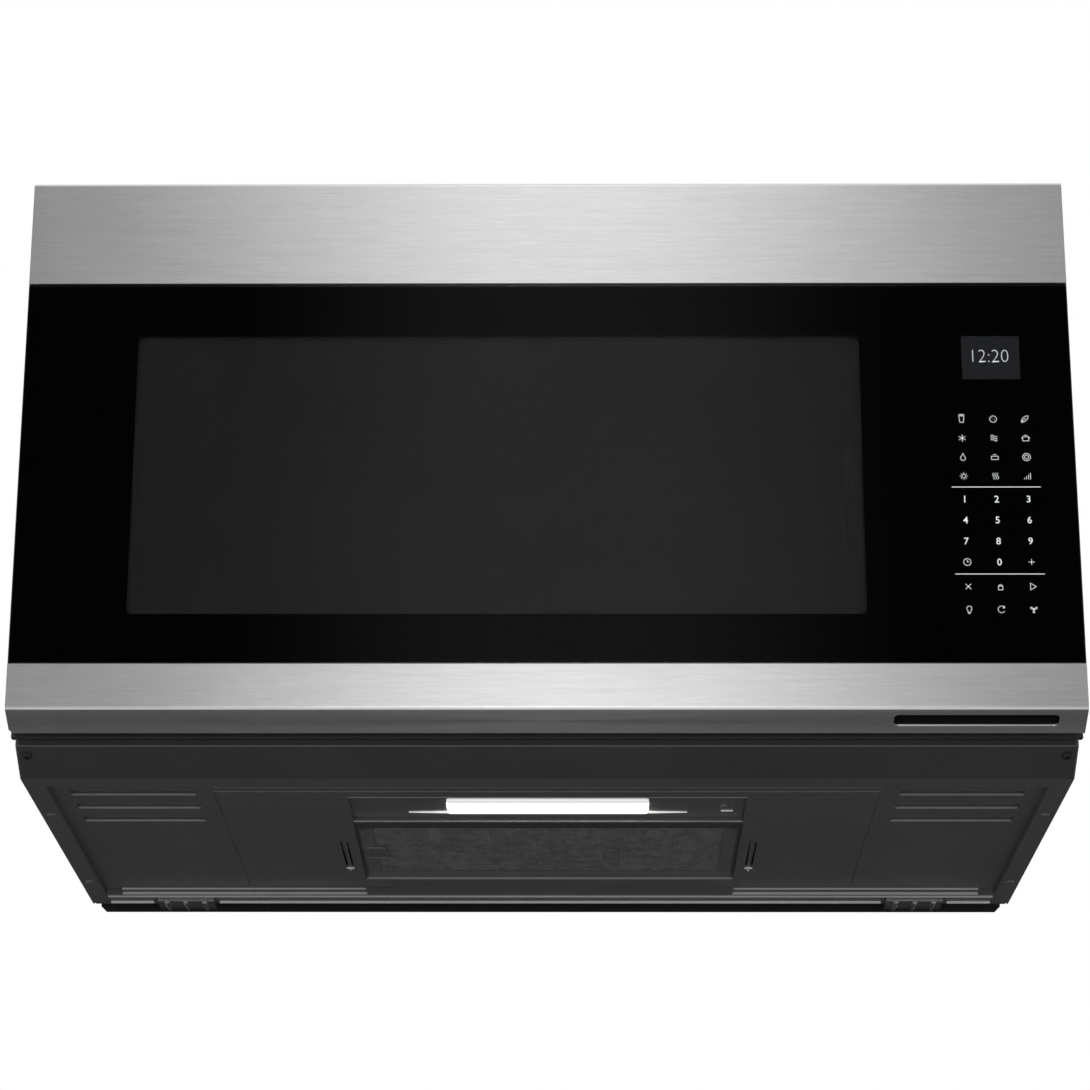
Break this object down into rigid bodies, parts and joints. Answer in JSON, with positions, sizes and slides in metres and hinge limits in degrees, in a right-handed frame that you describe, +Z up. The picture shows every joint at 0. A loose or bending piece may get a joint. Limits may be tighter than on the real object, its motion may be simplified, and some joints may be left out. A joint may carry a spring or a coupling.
{
  "type": "over the range microwave",
  "caption": "Over-the-range microwave oven: full-width side-hinged glass and steel door, turntable, vent blower, grease filter and cooktop light, hung on a wall plate.",
  "frame": {"origin": "middle of the wall plate's back face, level with the flat rim of the underside", "axes": "+X to the cook's right, +Y back into the wall, +Z up; the door faces -Y"},
  "size_m": [0.759, 0.455, 0.4452],
  "materials": {
    "black_glass": "polished tempered glass, black printed on its back",
    "brushed_steel": "brushed along its length",
    "black_plastic": "fine moulded texture",
    "perforated_steel": "black enamel, perforated at the window",
    "clear_plastic": "clear",
    "circuit_board": "lacquered laminate",
    "plated_steel": "zinc plated",
    "white_plastic": "natural moulded",
    "dark_paint": "dark grey powder coat",
    "cavity_enamel": "grey enamel",
    "clear_glass": "clear tempered",
    "mica": "mica sheet",
    "aluminium": "mill, lightly brushed",
    "carbon": "carbon granules",
    "lamp": "frosted bulb in its socket"
  },
  "bodies": {
    "cabinet": {"outer_wrapper": "dark_paint", "rear_panel": "plated_steel", "front_frame": "dark_paint", "oven_cavity": "cavity_enamel", "duct_wall": "plated_steel", "blower_plate": "plated_steel", "cord_gland": "black_plastic", "wall_plate": "dark_paint", "wall_hooks": "plated_steel", "base_pan": "dark_paint", "lamp_housing": "plated_steel", "cooktop_lamp_board": "circuit_board", "filter_rails": "plated_steel", "filter_spring": "plated_steel", "corner_caps": "black_plastic", "base_screws": "plated_steel", "turntable_motor": "plated_steel", "vent_grille": "black_plastic", "charcoal_filter": "carbon", "blower_housings": "plated_steel", "vent_motor": "plated_steel", "waveguide": "plated_steel", "waveguide_cover": "mica", "magnetron": "plated_steel", "transformer": "plated_steel", "capacitor_and_diode": "plated_steel", "mains_filter_board": "circuit_board", "cavity_lamp": "lamp", "heat_and_steam_sensors": "plated_steel", "fan_shroud": "plated_steel", "fan_motor": "black_plastic", "interlock_bracket": "black_plastic", "interlock_switches": "black_plastic", "hinge_brackets": "plated_steel"},
    "door": {"door_glass": "black_glass", "top_trim": "brushed_steel", "bottom_trim": "brushed_steel", "handle_pocket": "black_plastic", "door_body": "black_plastic", "window_screen": "perforated_steel", "choke_panel": "perforated_steel", "choke_cover": "black_plastic", "inner_window": "clear_plastic", "touch_board": "circuit_board", "control_board": "circuit_board", "hinge_pins": "plated_steel", "latch_spring": "plated_steel"},
    "latch": {"latch_hooks": "white_plastic"},
    "light_cover": {"light_cover": "dark_paint", "light_lens": "clear_plastic"},
    "grease_filter": {"filter_frame": "aluminium", "filter_mesh": "aluminium"},
    "turntable": {"turntable_tray": "clear_glass", "drive_coupler": "white_plastic"},
    "roller_ring": {"roller_ring": "white_plastic"},
    "roller_1": {"roller_1": "white_plastic"},
    "roller_2": {"roller_2": "white_plastic"},
    "roller_3": {"roller_3": "white_plastic"},
    "vent_wheels": {"blower_wheels": "white_plastic"},
    "fan": {"cooling_fan": "white_plastic"}
  },
  "joints": [
    {"name": "door_hinge", "type": "hinge", "parent": "cabinet", "child": "door", "pos_m": [-0.368, -0.441, 0.235], "axis": [0, 0, -1], "range_deg": [0, 100]},
    {"name": "latch_lift", "type": "slide", "parent": "door", "child": "latch", "axis": [0, 0, 1], "range_m": [0, 0.005], "stiffness_N_per_m": 400, "springref_m": -0.004},
    {"name": "light_cover_hinge", "type": "hinge", "parent": "cabinet", "child": "light_cover", "pos_m": [-0.1434, -0.2937, 0.0087], "axis": [0, 1, 0], "range_deg": [0, 85]},
    {"name": "filter_shift", "type": "slide", "parent": "cabinet", "child": "grease_filter", "axis": [1, 0, 0], "range_m": [0, 0.008], "stiffness_N_per_m": 300, "springref_m": -0.004},
    {"name": "turntable_spin", "type": "hinge", "parent": "cabinet", "child": "turntable", "pos_m": [-0.054, -0.2398, 0.1], "axis": [0, 0, 1], "continuous": true},
    {"name": "roller_ring_spin", "type": "hinge", "parent": "cabinet", "child": "roller_ring", "pos_m": [-0.054, -0.2398, 0.0933], "axis": [0, 0, 1], "continuous": true},
    {"name": "roller_1_spin", "type": "hinge", "parent": "roller_ring", "child": "roller_1", "pos_m": [-0.054, -0.1348, 0.0933], "axis": [0, 1, 0], "continuous": true},
    {"name": "roller_2_spin", "type": "hinge", "parent": "roller_ring", "child": "roller_2", "pos_m": [-0.14493, -0.2923, 0.0933], "axis": [-0.866, -0.5, 0], "continuous": true},
    {"name": "roller_3_spin", "type": "hinge", "parent": "roller_ring", "child": "roller_3", "pos_m": [0.03693, -0.2923, 0.0933], "axis": [0.866, -0.5, 0], "continuous": true},
    {"name": "vent_wheels_spin", "type": "hinge", "parent": "cabinet", "child": "vent_wheels", "pos_m": [0, -0.085, 0.38567], "axis": [1, 0, 0], "continuous": true},
    {"name": "cooling_fan_spin", "type": "hinge", "parent": "cabinet", "child": "fan", "pos_m": [0.304, -0.05, 0.262], "axis": [0, 1, 0], "continuous": true}
  ],
  "couplings": [
    {"joint": "roller_ring_spin", "follows": "turntable_spin", "ratio": 0.5},
    {"joint": "roller_1_spin", "follows": "turntable_spin", "ratio": -5.5263},
    {"joint": "roller_2_spin", "follows": "turntable_spin", "ratio": -5.5263},
    {"joint": "roller_3_spin", "follows": "turntable_spin", "ratio": -5.5263}
  ]
}
